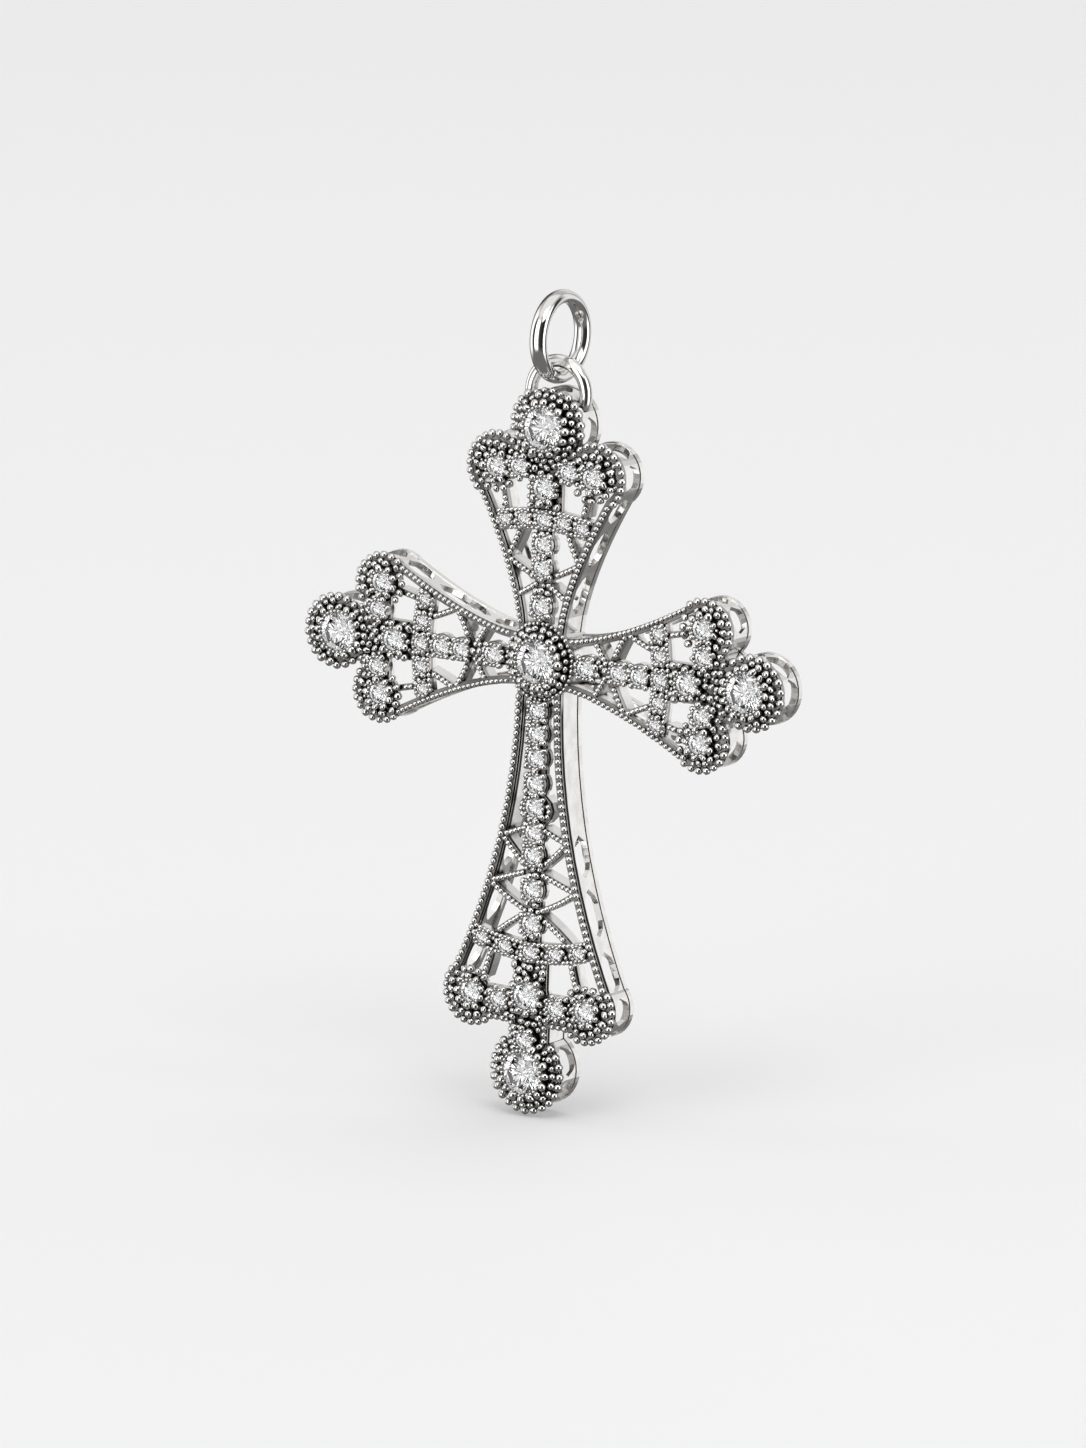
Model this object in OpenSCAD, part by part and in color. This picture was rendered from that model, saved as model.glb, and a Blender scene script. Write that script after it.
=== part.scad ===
// Openwork cross pendant set with round stones, hanging from a jump ring. Millimetres.
// X is right seen from the front, the front faces -Y, Z is up.
// The origin is the point inside the top of the jump ring where a chain carries it.

/* [Cross] */
// Distance from the centre to the middle of a side arm's tip disc
side_reach = 16.4; // [16.2:0.1:16.6]
// Distance from the centre to the middle of the top arm's tip disc
top_reach = 15.65; // [15.5:0.05:16]
// Distance from the centre to the middle of the bottom arm's tip disc
bottom_reach = 27.95; // [27.8:0.05:28.2]
// Radius of the tip discs of the top and the bottom arm
tip_r = 2.6; // [2.5:0.02:2.7]
// Radius of the round plate behind the centre stone
boss_r = 2.6; // [2.54:0.02:2.7]

/* [Metal] */
// Depth of the cross from the front plate's face to its back
cross_depth = 2.5; // [2.4:0.02:2.6]
// Thickness of the pierced front plate
plate_t = 0.62; // [0.6:0.01:0.8]
// Thickness of the back frame
back_t = 0.4; // [0.4:0.05:0.5]
// Width of the rim that follows the outline
rim_w = 0.56; // [0.52:0.02:0.6]
// Thickness of the gallery wall between the front plate and the back frame
wall_t = 0.38; // [0.34:0.02:0.44]
// Width of a lattice wire
wire_w = 0.42; // [0.34:0.02:0.44]
// Height of the rim's ridge above the front plate
ridge_h = 0.16; // [0.12:0.02:0.2]

/* [Stones] */
// Diameter of the centre stone
centre_stone = 2.85; // [2.8:0.05:3.1]
// Gap between a stone and its seat
stone_gap = 0.03; // [0.02:0.01:0.04]
// Thickness of the collet wall around a stone
collet_t = 0.18; // [0.16:0.01:0.2]

/* [Ring and loop] */
// Thickness of the jump ring's wire, measured in the plane of the ring
ring_wire = 0.94; // [0.9:0.02:0.96]
// Width of the jump ring's wire along the ring's axis, as a multiple of its thickness
ring_oval = 1.3; // [1.2:0.02:1.3]
// Radius of the jump ring to the middle of its wire
ring_r = 2.66; // [2.6:0.02:2.9]
// Wire diameter of the fixed loop
loop_wire = 0.86; // [0.82:0.02:0.9]
// Radius of the fixed loop to the middle of its wire
loop_r = 2.14; // [2.1:0.02:2.18]
// Height of the fixed loop's middle above the middle of the top tip disc
loop_rise = 2.2; // [2.16:0.02:2.24]
// Gap between the ring's wire and the loop's wire, wide enough for the oval wire when the cross sways
link_gap = 0.16; // [0.14:0.01:0.18]

/* [Hidden] */
// One row for each arm: name, turn from pointing up, reach of its tip disc, its row of FORMS,
// the set of STONES and WIRES it has, and the names of its two sides, the lower offset first
ARM_NAME = 0;
ARM_TURN = 1;
ARM_REACH = 2;
ARM_FORM = 3;
ARM_SET = 4;
ARM_SIDES = 5;
ARMS = [
    ["top", 0, top_reach, 0, "short", ["left", "right"]],
    ["right", 90, side_reach, 1, "short", ["upper", "lower"]],
    ["bottom", 180, bottom_reach, 2, "long", ["right", "left"]],
    ["left", 270, side_reach, 1, "short", ["lower", "upper"]]];

// The outlines of the top arm, of a side arm and of the bottom arm. Distances are along the arm from
// the centre of the cross, offsets are across it: distance, offset and radius of a lobe, half-width
// of the flank at the boss and at its end, where the flank ends and the power of its curve, distance
// and bow of the band, where the head begins, offset and distance of the shoulder, half-width of the
// neck, radius of the tip disc, how far its stone sits inside the disc's middle, the stone's diameter
// and the height of its table
LOBE_D = 0;
LOBE_W = 1;
LOBE_R = 2;
FLANK_IN = 3;
FLANK_OUT = 4;
FLANK_END = 5;
FLANK_POWER = 6;
BAND_D = 7;
BAND_BOW = 8;
HEAD_D = 9;
SHOULDER_W = 10;
SHOULDER_D = 11;
NECK_W = 12;
TIP_R = 13;
TIP_BACK = 14;
TIP_STONE = 15;
TIP_TABLE = 16;
FORMS = [
    [12.7, 3.85, 2.2, 1.78, 5.92, 12.2, 1.5, 9.5, 0.027, 12.1, 2.1, 14.5, 1.6, tip_r, 0, 2.8, 1.2],
    [12.7, 3.62, 2.08, 1.78, 5.6, 12.1, 1.5, 9.5, 0.027, 12.1, 2, 14.5, 1.6, 2.4, 0.3, 2.65, 0.9],
    [23.1, 4.52, 2.16, 1.72, 6.62, 22.7, 2.05, 19.75, 0.033, 22.5, 3.2, 24.75, 1.5, tip_r, 0, 2.9, 1.2]];
flank_start = 2;

// Columns of STONES: set, place, distance, offset, diameter, height of the table above the front
// plate. A tip stone's values come from its arm and a band stone's distance from its band's curve,
// and a stone with an offset is there on both sides.
STONES = [
    ["short", "tip", 0, 0, 0, 0],
    ["short", "lobe", 12.7, 3.8, 1.4, 0.62],
    ["short", "mid", 11.62, 0, 1.52, 0.62],
    ["short", "inner", 12.9, 1.95, 1.15, 0.66],
    ["short", "column", 7.85, 0, 1.2, 0.46],
    ["short", "column", 6.25, 0, 1.15, 0.46],
    ["short", "column", 3.68, 0, 1.25, 0.46],
    ["short", "band", 0, 0, 0.95, 0.42],
    ["short", "band", 0, 1.55, 0.85, 0.4],
    ["short", "band", 0, 3.05, 0.8, 0.4],
    ["long", "tip", 0, 0, 0, 0],
    ["long", "neck", 25.73, 0, 1.15, 0.8],
    ["long", "lobe", 23.1, 4.58, 1.46, 0.62],
    ["long", "inner", 23.25, 2.3, 1.15, 0.6],
    ["long", "mid", 22.7, 0, 1.85, 0.86],
    ["long", "column", 17.84, 0, 1.3, 0.46],
    ["long", "column", 15.48, 0, 1.3, 0.46],
    ["long", "column", 13.13, 0, 1.25, 0.46],
    ["long", "column", 11.6, 0, 1.2, 0.46],
    ["long", "column", 9.87, 0, 1.3, 0.46],
    ["long", "column", 8.28, 0, 1.25, 0.46],
    ["long", "column", 6.54, 0, 1.25, 0.46],
    ["long", "column", 4.92, 0, 1.2, 0.46],
    ["long", "column", 3.36, 0, 1.15, 0.46],
    ["long", "band", 0, 0, 1, 0.42],
    ["long", "band", 0, 2.02, 0.9, 0.4],
    ["long", "band", 0, 3.86, 0.85, 0.4]];
// How far the solid head reaches past a lobe's or mid stone's edge, and half the width of the strip
// between it and the band
head_w = 0.46;
strip_half = 1.3;

// Lattice wires on each side of the column. Columns of WIRES: set, then the distance and offset of
// the start, of the bend and of the end. An offset of RIM is the rim's own.
RIM = -1;
WIRES = [
    ["short", 9.1, 1.75, 7.9, 2.15, 6.75, RIM],
    ["short", 6.75, RIM, 6.1, 1.75, 5.6, 0.5],
    ["short", 5.15, 0.5, 4.75, 1.15, 4.25, RIM],
    ["short", 9.95, 3.0, 10.6, 3.15, 11.7, 3.4],
    ["long", 9.2, 0.5, 10, 1.7, 10.95, 0.5],
    ["long", 11.25, 0.5, 11.6, 1.35, 12.05, RIM],
    ["long", 12.05, RIM, 13, 1.75, 14.05, 0.5],
    ["long", 14.3, 0.5, 14.75, 1.7, 15.3, RIM],
    ["long", 15.3, RIM, 16.3, 2.15, 16.95, 0.5],
    ["long", 17.2, 0.5, 17.95, 1.9, 19.2, 3.3],
    ["long", 20.3, 3.25, 21.1, 3.45, 22.1, 3.8]];
wire_steps = 4;

// Half-width of the strip that joins the column's settings, and width of the band
column_half = 0.62;
band_w = 1.32;
// Offset of a band's rail from its middle, width of the rail and its height above the plate
rail_offset = 0.56;
rail_w = 0.2;
rail_h = 0.12;
// Radius that softens the inner corners of the piercing
soften = 0.07;
// How far the ridge stands inside the rim's edges
ridge_inset = 0.08;
// How far pieces of one casting run into each other
sink = 0.1;
// How far the gallery wall and the back frame stand inside the outline
wall_inset = 0.05;
back_w = 0.6;
// Width of the lattice blades behind the front plate, and how far behind its face they reach
blade_w = 0.24;
blade_depth = 1.35;

// Windows of the gallery wall: what they leave of the front plate's edge and of the wall at the back
// frame, the length of those round a tip disc and round a lobe, with their angles from the arm's own
// direction, and for each form the distance and the length of those along a flank. The top tip is
// solid where the fixed loop's ends meet it.
window_front = 0.32;
window_back = 0.06;
window_h = cross_depth - back_t - window_back - window_front;
tip_window = 2.1;
TIP_WINDOWS = [-110, -55, 0, 55, 110];
TOP_TIP_WINDOWS = [-95, 0, 95];
lobe_window = 1.9;
LOBE_WINDOWS = [26, 90];
FLANK_WINDOWS = [
    [[4.6, 2.9], [7.75, 2.9], [10.5, 2.1]],
    [[3.55, 1.6], [6.9, 4.5], [10.5, 2.3]],
    [[13, 2.9], [16.7, 3.4], [20.5, 2.9]]];
// How far a window is cut inside and outside the outline, and the whole length of its cutter
window_in = 0.62;
window_out = 0.1;
window_reach = 1.2;
window_steps = 6;
// Power of a window's outline: 2 is a plain leaf, more is fuller
window_power = 3;

// Groove round the boss
groove_in = 2.02;
groove_out = 2.38;
groove_depth = 0.42;
centre_table = 1.2;

// Proportions of a round brilliant, as fractions of its diameter
table_f = 0.28;
star_f = 0.395;
crown_f = 0.15;
star_height_f = 0.095;
girdle_f = 0.03;
pavilion_f = 0.43;
lower_f = 0.13;
lower_depth_f = 0.345;
// Radius of the open hole under a stone, as a fraction of its diameter
culet_hole_f = 0.15;
// How far a collet stands above the stone's girdle
bezel_lip = 0.05;
// A collet that rises more than this above the plate is a cone, wider at its foot by this share
plain_rise = 0.35;
collet_flare = 0.5;

// Depth of the ring and the fixed loop behind the front plate's face
loop_y = 1.15;
// Where the fixed loop's wire starts, below the level of its middle
loop_start = -22;
loop_z = top_reach + loop_rise;
link_z = loop_z + loop_r - loop_wire / 2 - link_gap - ring_wire / 2;
ring_z = link_z + ring_r;
hang_z = ring_z + ring_r - ring_wire / 2;

// Steps of a flank's curve, facets of the large and small rounds, and a small distance
flank_steps = 12;
disc_fn = 40;
dot_fn = 16;
small = 0.01;

function flank(f, d) = f[FLANK_IN] + (f[FLANK_OUT] - f[FLANK_IN])
    * pow(max(0, d - flank_start) / (f[FLANK_END] - flank_start), f[FLANK_POWER]);
function flank_slope(f, d) = (flank(f, d + small) - flank(f, d - small)) / (2 * small);
function band(f, w) = f[BAND_D] - f[BAND_BOW] * w * w;
function offset_or_rim(f, d, w) = w == RIM ? flank(f, d) - rim_w / 2 : w;
function bend(a, b, c) = [for (i = [0 : wire_steps]) let (t = i / wire_steps)
    (1 - t) * (1 - t) * a + 2 * t * (1 - t) * b + t * t * c];
function wire_points(f, v) = bend([offset_or_rim(f, v[1], v[2]), v[1]],
    [offset_or_rim(f, v[3], v[4]), v[3]], [offset_or_rim(f, v[5], v[6]), v[5]]);
function band_points(f, shift) = let (half = flank(f, band(f, flank(f, f[BAND_D]))) - rim_w / 2)
    [for (i = [-8 : 8]) let (w = half * i / 8) [w, band(f, w) + shift]];

// Every stone of the cross: name, place, x, z, diameter, height of the table
SEAT_NAME = 0;
SEAT_PLACE = 1;
SEAT_X = 2;
SEAT_Z = 3;
SEAT_SIZE = 4;
SEAT_TABLE = 5;
function seat(arm, s, side) = let (
    f = FORMS[arm[ARM_FORM]],
    w = side * s[3],
    d = s[1] == "tip" ? arm[ARM_REACH] - f[TIP_BACK] : s[1] == "band" ? band(f, w) : s[2],
    tip = s[1] == "tip",
    end = side == 0 ? "" : str("_", arm[ARM_SIDES][side < 0 ? 0 : 1]))
    [str("stone_", s[1], "_", arm[ARM_NAME], end), s[1],
        w * cos(arm[ARM_TURN]) + d * sin(arm[ARM_TURN]),
        d * cos(arm[ARM_TURN]) - w * sin(arm[ARM_TURN]),
        tip ? f[TIP_STONE] : s[4], tip ? f[TIP_TABLE] : s[5]];
SEATS = concat([["stone_centre", "centre", 0, 0, centre_stone, centre_table]],
    [for (arm = ARMS) for (s = STONES) if (s[0] == arm[ARM_SET])
        for (side = s[3] == 0 ? [0] : [-1, 1]) seat(arm, s, side)]);
FIELDS = ["column", "band"];
MAIN = [for (s = SEATS) if (s[SEAT_PLACE] != "column" && s[SEAT_PLACE] != "band") s];

function girdle_height(s) = s[SEAT_TABLE] - (crown_f + girdle_f / 2) * s[SEAT_SIZE];

// A ribbon of a given width along a line of points
module stroke(points, width) {
    last = len(points) - 1;
    sides = [for (i = [0 : last]) let (along = points[min(i + 1, last)] - points[max(i - 1, 0)])
        [-along[1], along[0]] * width / 2 / norm(along)];
    polygon(concat([for (i = [0 : last]) points[i] + sides[i]],
        [for (i = [last : -1 : 0]) points[i] - sides[i]]));
}

// Extrudes a drawing of the front view, x across and y up, from depth y0 to depth y1
module slab(y0, y1) {
    translate([0, y1, 0]) rotate([90, 0, 0]) linear_extrude(y1 - y0) children();
}

module arm_outline(arm) {
    f = FORMS[arm[ARM_FORM]];
    stations = [for (i = [0 : flank_steps]) f[FLANK_END] * i / flank_steps];
    polygon(concat([for (d = stations) [flank(f, d), d]],
        [for (i = [flank_steps : -1 : 0]) [-flank(f, stations[i]), stations[i]]]));
    for (side = [-1, 1]) translate([side * f[LOBE_W], f[LOBE_D]]) circle(f[LOBE_R], $fn = disc_fn);
    base = f[FLANK_END] - sink;
    polygon([[-f[LOBE_W], base], [f[LOBE_W], base],
        [f[SHOULDER_W], f[SHOULDER_D]], [-f[SHOULDER_W], f[SHOULDER_D]]]);
    translate([-f[NECK_W], base]) square([2 * f[NECK_W], arm[ARM_REACH] - base]);
    translate([0, arm[ARM_REACH]]) circle(f[TIP_R], $fn = disc_fn);
}

// The strip of a given width that runs inset from an arm's outline, outside the boss
module arm_rim(arm, inset, width, boss) {
    offset(delta = 0) difference() {
        offset(delta = -inset) arm_outline(arm);
        offset(delta = -inset - width) arm_outline(arm);
        circle(boss, $fn = disc_fn);
    }
}

module arm_wires(arm, width) {
    f = FORMS[arm[ARM_FORM]];
    for (v = WIRES) if (v[0] == arm[ARM_SET]) for (side = [0, 1]) mirror([side, 0]) {
        stroke(wire_points(f, v), width);
    }
}

// The solid head: all beyond a line across the arm, a rim round its lobe and mid stones, and a strip
// from the band
module arm_head(arm) {
    f = FORMS[arm[ARM_FORM]];
    reach_w = f[LOBE_W] + f[LOBE_R];
    intersection() {
        union() {
            translate([-reach_w, f[HEAD_D]]) square([2 * reach_w, arm[ARM_REACH]]);
            translate([-strip_half, f[BAND_D]]) square([2 * strip_half, f[HEAD_D] - f[BAND_D]]);
            for (s = STONES) if (s[0] == arm[ARM_SET] && (s[1] == "lobe" || s[1] == "mid")) {
                for (side = [-1, 1]) translate([side * s[3], s[2]]) {
                    circle(s[4] / 2 + head_w, $fn = disc_fn);
                }
            }
        }
        arm_outline(arm);
    }
}

module arm_pierced(arm) {
    f = FORMS[arm[ARM_FORM]];
    offset(delta = -soften) offset(delta = soften) union() {
        arm_rim(arm, 0, rim_w, small);
        arm_head(arm);
        translate([-column_half, 0]) square([2 * column_half, f[HEAD_D]]);
        stroke(band_points(f, 0), band_w);
        arm_wires(arm, wire_w);
        for (s = STONES) if (s[0] == arm[ARM_SET] && s[1] == "column") {
            translate([0, s[2]]) circle(s[4] / 2 + collet_t + sink, $fn = dot_fn);
        }
    }
}

module arm_rails(arm) {
    for (side = [-1, 1]) {
        stroke(band_points(FORMS[arm[ARM_FORM]], side * rail_offset), rail_w);
    }
}

// A leaf-shaped cutter that runs out along X, long in Z and with its height in depth
module window(length, start) {
    half = [for (i = [0 : window_steps]) let (t = 2 * i / window_steps - 1)
        [window_h / 2 * (1 - pow(abs(t), window_power)), length / 2 * t]];
    back = [for (i = [window_steps - 1 : -1 : 1]) [-half[i][0], half[i][1]]];
    translate([start, 0, 0]) rotate([90, 0, 90]) linear_extrude(window_reach) {
        polygon(concat(half, back));
    }
}

module arm_windows(arm) {
    f = FORMS[arm[ARM_FORM]];
    for (a = arm[ARM_NAME] == "top" ? TOP_TIP_WINDOWS : TIP_WINDOWS) {
        translate([0, 0, arm[ARM_REACH]]) rotate([0, a - 90, 0]) {
            window(tip_window, f[TIP_R] - window_in);
        }
    }
    for (side = [0, 1]) mirror([side, 0, 0]) {
        for (a = LOBE_WINDOWS) translate([f[LOBE_W], 0, f[LOBE_D]]) rotate([0, a - 90, 0]) {
            window(lobe_window, f[LOBE_R] - window_in);
        }
        for (v = FLANK_WINDOWS[arm[ARM_FORM]]) translate([flank(f, v[0]), 0, v[0]]) {
            rotate([0, atan(flank_slope(f, v[0])), 0]) window(v[1], -window_in);
        }
    }
}

// The front plate and the gallery wall, whose windows reach under the plate's rim
module arm_gallery(arm) {
    difference() {
        union() {
            slab(0, plate_t) arm_pierced(arm);
            slab(plate_t - sink, cross_depth - back_t + sink) {
                arm_rim(arm, wall_inset, wall_t, boss_r - sink);
            }
        }
        intersection() {
            translate([0, window_front + window_h / 2, 0]) arm_windows(arm);
            slab(0, cross_depth) arm_rim(arm, -window_out, window_out + window_in, boss_r - sink);
        }
    }
}

module arm_body(arm) {
    slab(-ridge_h, sink) arm_rim(arm, ridge_inset, rim_w - 2 * ridge_inset, groove_out + sink);
    slab(-rail_h, sink) offset(delta = 0) arm_rails(arm);
    slab(window_front - sink, blade_depth) offset(delta = 0) arm_wires(arm, blade_w);
    arm_gallery(arm);
    slab(cross_depth - back_t, cross_depth) arm_rim(arm, 0, back_w, boss_r - sink);
}

// The round plate behind the centre stone and the tube behind it
module boss() {
    rotate([90, 0, 0]) translate([0, 0, -plate_t]) cylinder(h = plate_t, r = boss_r, $fn = disc_fn);
    translate([0, cross_depth, 0]) rotate([90, 0, 0]) rotate_extrude($fn = disc_fn) {
        translate([boss_r - back_w, 0]) square([back_w, cross_depth - plate_t + sink]);
    }
}

module fixed_loop() {
    translate([0, loop_y, loop_z]) rotate([90, 0, 0]) rotate([0, 0, loop_start]) {
        rotate_extrude(angle = 180 - 2 * loop_start, $fn = disc_fn) translate([loop_r, 0]) {
            circle(d = loop_wire, $fn = dot_fn);
        }
    }
}

// Runs along -Y from depth y1 to height y0 above the plate
module post(s, y1, height, r1, r2) {
    translate([s[SEAT_X], y1, s[SEAT_Z]]) rotate([90, 0, 0]) {
        cylinder(h = y1 + height, r1 = r1, r2 = r2, $fn = disc_fn);
    }
}

module collets() {
    for (s = SEATS) {
        r = s[SEAT_SIZE] / 2 + stone_gap + collet_t;
        rise = girdle_height(s) + bezel_lip;
        post(s, plate_t / 2, rise, r + collet_flare * max(0, rise - plain_rise), r);
    }
}

module seats() {
    for (s = SEATS) {
        size = s[SEAT_SIZE];
        r = size / 2 + stone_gap;
        girdle = girdle_height(s) - girdle_f / 2 * size - stone_gap;
        depth = pavilion_f * size;
        post(s, -girdle, girdle + 1, r, r);
        post(s, depth - girdle, girdle, stone_gap, r);
        post(s, cross_depth, 1, culet_hole_f * size, culet_hole_f * size);
    }
}

module boss_groove() {
    translate([0, groove_depth, 0]) rotate([90, 0, 0]) rotate_extrude($fn = disc_fn) {
        translate([groove_in, 0]) square([groove_out - groove_in, groove_depth + 1]);
    }
}

module cross_body() {
    color("silver") translate([0, -loop_y, -hang_z]) difference() {
        union() {
            for (arm = ARMS) rotate([0, arm[ARM_TURN], 0]) arm_body(arm);
            boss();
            collets();
            fixed_loop();
        }
        seats();
        boss_groove();
    }
}

module jump_ring() {
    color("gainsboro") translate([0, 0, ring_z - hang_z]) rotate([0, 90, 0]) {
        rotate_extrude($fn = disc_fn) translate([ring_r, 0]) scale([1, ring_oval]) {
            circle(d = ring_wire, $fn = dot_fn);
        }
    }
}

// A round brilliant of diameter 1, its girdle's middle at the origin and its table towards +Z
module brilliant() {
    top = girdle_f / 2;
    table = [for (i = [0 : 7]) [table_f * cos(45 * i), table_f * sin(45 * i), top + crown_f]];
    star = [for (i = [0 : 7]) [star_f * cos(45 * i + 22.5), star_f * sin(45 * i + 22.5),
        top + star_height_f]];
    upper = [for (i = [0 : 15]) [cos(22.5 * i) / 2, sin(22.5 * i) / 2, top]];
    lower = [for (p = upper) [p[0], p[1], -top]];
    main = [for (i = [0 : 7]) [lower_f * cos(45 * i + 22.5), lower_f * sin(45 * i + 22.5),
        -top - lower_depth_f]];
    t0 = 0;
    s0 = 8;
    u0 = 16;
    l0 = 32;
    m0 = 48;
    culet = 56;
    faces = concat(
        [[for (i = [7 : -1 : 0]) t0 + i]],
        [for (i = [0 : 7]) let (n = (i + 1) % 8, p = (i + 7) % 8) each [
            [t0 + i, t0 + n, s0 + i],
            [t0 + i, s0 + i, u0 + 2 * i], [t0 + i, u0 + 2 * i, s0 + p],
            [s0 + i, u0 + 2 * i + 1, u0 + 2 * i], [s0 + i, u0 + 2 * n, u0 + 2 * i + 1],
            [m0 + i, l0 + 2 * i, l0 + 2 * i + 1], [m0 + i, l0 + 2 * i + 1, l0 + 2 * n],
            [culet, l0 + 2 * i, m0 + i], [culet, m0 + p, l0 + 2 * i]]],
        [for (i = [0 : 15]) let (n = (i + 1) % 16) [u0 + i, u0 + n, l0 + n, l0 + i]]);
    polyhedron(concat(table, star, upper, lower, main, [[0, 0, -top - pavilion_f]]), faces);
}

module stone(s) {
    color("aliceblue") translate([s[SEAT_X], -loop_y - girdle_height(s), s[SEAT_Z] - hang_z]) {
        rotate([90, 0, 0]) scale(s[SEAT_SIZE]) brilliant();
    }
}

module stone_field(place) {
    for (s = SEATS) if (s[SEAT_PLACE] == place) stone(s);
}

cross_body();
jump_ring();
for (s = MAIN) stone(s);
for (place = FIELDS) stone_field(place);
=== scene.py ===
import math
import random
from collections import namedtuple

import bpy
import numpy as np
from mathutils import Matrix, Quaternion, Vector


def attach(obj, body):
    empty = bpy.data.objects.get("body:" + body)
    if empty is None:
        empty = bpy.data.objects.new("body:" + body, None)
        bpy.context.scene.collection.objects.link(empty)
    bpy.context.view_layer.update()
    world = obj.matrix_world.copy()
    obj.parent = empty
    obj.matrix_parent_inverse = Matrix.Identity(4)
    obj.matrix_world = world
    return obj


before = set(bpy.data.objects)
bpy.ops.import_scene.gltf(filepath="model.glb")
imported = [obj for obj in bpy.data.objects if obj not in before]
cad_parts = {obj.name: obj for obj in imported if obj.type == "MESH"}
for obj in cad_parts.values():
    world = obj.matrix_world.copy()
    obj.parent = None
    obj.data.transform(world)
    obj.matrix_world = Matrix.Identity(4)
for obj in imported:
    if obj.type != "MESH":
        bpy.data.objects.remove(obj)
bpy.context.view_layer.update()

# A cross pendant in silver with clear stones: its beads and grains, its materials and its studio.
# Sizes are in millimetres, from the cross's own centre and its front plate's face, as in the part's source.
# Distances run along an arm, offsets across it, and heights stand above the plate's face.
MM = 0.001
# The origin's height above the centre of the cross, and its depth behind the plate's face
HANG = 23.78
LOOP_Y = 1.15
# Width of the rim and height of its ridge
RIM_W = 0.56
RIDGE_H = 0.16
# Height of a band's rails, and the offset of their beads from the band's middle
RAIL_H = 0.12
RAIL_OFFSET = 0.57
# Diameter of the centre stone and height of its table
CENTRE_STONE, CENTRE_TABLE = 2.85, 1.2
# From a stone's edge to its collet's outside, and how far the collet stands above the girdle's middle,
# which lies below the table by a share of the stone's diameter
COLLET = 0.21
LIP = 0.05
GIRDLE = 0.165
# Half-widths of the column of small stones and of the solid strip between the band and the head
COLUMN_HALF = 0.62
STRIP_HALF = 1.3
# How far the solid head reaches past the edge of a lobe's or mid stone
HEAD_W = 0.46
# How far the head's straight parts run back over the end of the flank
SINK = 0.1
# Distance at which a flank's curve starts
FLANK_START = 2.0

# The form of an arm: distance, offset and radius of a lobe; half-widths of the flank at its start and end,
# where it ends and the power of its curve; distance and bow of the band; where the head starts; offset and
# distance of the shoulder; half-width of the neck; radius of the tip disc; how far its stone is set back,
# the stone's diameter and its table's height; how far outside the edge of the tip and of the lobes the
# middles of their beads stand; radius and spacing of the flank's beads
Form = namedtuple("Form", "lobe_d lobe_w lobe_r root spread end power band_d bow head shoulder_w shoulder_d "
                          "neck tip_r back stone table tip_out lobe_out flank_bead")
TOP = Form(lobe_d=12.7, lobe_w=3.85, lobe_r=2.2, root=1.78, spread=5.92, end=12.2, power=1.5,
           band_d=9.5, bow=0.027, head=12.1, shoulder_w=2.1, shoulder_d=14.5, neck=1.6, tip_r=2.6,
           back=0.0, stone=2.8, table=1.2, tip_out=0.04, lobe_out=-0.05, flank_bead=(0.2, 0.4))
SIDE = Form(lobe_d=12.7, lobe_w=3.62, lobe_r=2.08, root=1.78, spread=5.6, end=12.1, power=1.5,
            band_d=9.5, bow=0.027, head=12.1, shoulder_w=2.0, shoulder_d=14.5, neck=1.6, tip_r=2.4,
            back=0.3, stone=2.65, table=0.9, tip_out=-0.06, lobe_out=-0.08, flank_bead=(0.19, 0.38))
BOTTOM = Form(lobe_d=23.1, lobe_w=4.52, lobe_r=2.16, root=1.72, spread=6.62, end=22.7, power=2.05,
              band_d=19.75, bow=0.033, head=22.5, shoulder_w=3.2, shoulder_d=24.75, neck=1.5, tip_r=2.6,
              back=0.0, stone=2.9, table=1.2, tip_out=0.04, lobe_out=-0.05, flank_bead=(0.23, 0.5))
# Turn from pointing up, distance of the tip disc, form, and pattern of stones and wires
Arm = namedtuple("Arm", "turn reach form pattern")
ARMS = [Arm(0, 15.65, TOP, "short"), Arm(90, 16.4, SIDE, "short"),
        Arm(180, 27.95, BOTTOM, "long"), Arm(270, 16.4, SIDE, "short")]

# Stones besides the tips', for each pattern: seat, distance, offset, diameter and table's height. A stone
# of the band has the distance of the band's curve, and one with an offset is there on both sides.
STONES = {
    "short": [
        ("lobe", 12.7, 3.8, 1.4, 0.62),
        ("mid", 11.62, 0, 1.52, 0.62), ("inner", 12.9, 1.95, 1.15, 0.66),
        ("column", 7.85, 0, 1.2, 0.46), ("column", 6.25, 0, 1.15, 0.46), ("column", 3.68, 0, 1.25, 0.46),
        ("band", None, 0, 0.95, 0.42), ("band", None, 1.55, 0.85, 0.4), ("band", None, 3.05, 0.8, 0.4),
    ],
    "long": [
        ("neck", 25.73, 0, 1.15, 0.8),
        ("lobe", 23.1, 4.58, 1.46, 0.62), ("inner", 23.25, 2.3, 1.15, 0.6), ("mid", 22.7, 0, 1.85, 0.86),
        ("column", 17.84, 0, 1.3, 0.46), ("column", 15.48, 0, 1.3, 0.46), ("column", 13.13, 0, 1.25, 0.46),
        ("column", 11.6, 0, 1.2, 0.46), ("column", 9.87, 0, 1.3, 0.46), ("column", 8.28, 0, 1.25, 0.46),
        ("column", 6.54, 0, 1.25, 0.46), ("column", 4.92, 0, 1.2, 0.46), ("column", 3.36, 0, 1.15, 0.46),
        ("band", None, 0, 1.0, 0.42), ("band", None, 2.02, 0.9, 0.4), ("band", None, 3.86, 0.85, 0.4),
    ],
}

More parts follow.
